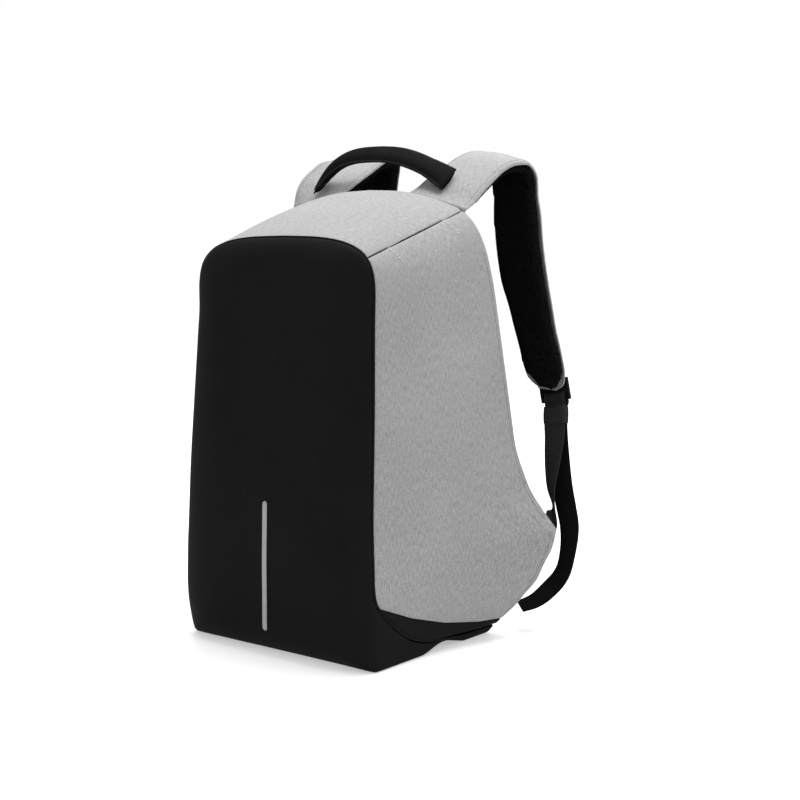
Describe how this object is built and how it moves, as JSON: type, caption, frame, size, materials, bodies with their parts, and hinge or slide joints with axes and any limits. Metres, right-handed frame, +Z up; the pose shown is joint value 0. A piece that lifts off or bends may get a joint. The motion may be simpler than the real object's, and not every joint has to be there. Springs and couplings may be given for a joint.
{
  "type": "anti theft backpack",
  "caption": "Hollow padded backpack with a smooth front panel, fabric sides flaring into wings at the back, a carrying handle and padded shoulder straps with buckles and webbing",
  "frame": {"origin": "on the floor, in the middle of the flat base", "axes": "+Z up, -Y the front panel, +Y the back with the straps, +X to the right seen from the front"},
  "size_m": [0.3662, 0.2869, 0.4869],
  "materials": {
    "front_fabric": "smooth matt black coated cloth",
    "heather_fabric": "light grey heather weave",
    "padded_mesh": "black air mesh over foam",
    "reflective": "grey reflective tape",
    "grip": "black grained leather-like cloth with a slight sheen",
    "webbing": "ribbed dark webbing",
    "buckle_plastic": "black moulded plastic"
  },
  "bodies": {
    "root": {"front_panel": "front_fabric", "base_panel": "front_fabric", "lower_gusset_right": "front_fabric", "lower_gusset_left": "front_fabric", "front_piping": "front_fabric", "back_panel": "padded_mesh", "top_panel": "heather_fabric", "side_panel_right": "heather_fabric", "side_panel_left": "heather_fabric", "reflective_strip": "reflective", "handle": "grip", "shoulder_strap_right": "heather_fabric", "shoulder_strap_left": "heather_fabric", "strap_pad_right": "padded_mesh", "strap_pad_left": "padded_mesh", "buckle_right": "buckle_plastic", "buckle_left": "buckle_plastic", "buckle_loop_right": "webbing", "buckle_loop_left": "webbing", "webbing_right": "webbing", "webbing_left": "webbing", "keeper_right": "buckle_plastic", "keeper_left": "buckle_plastic"}
  },
  "joints": []
}
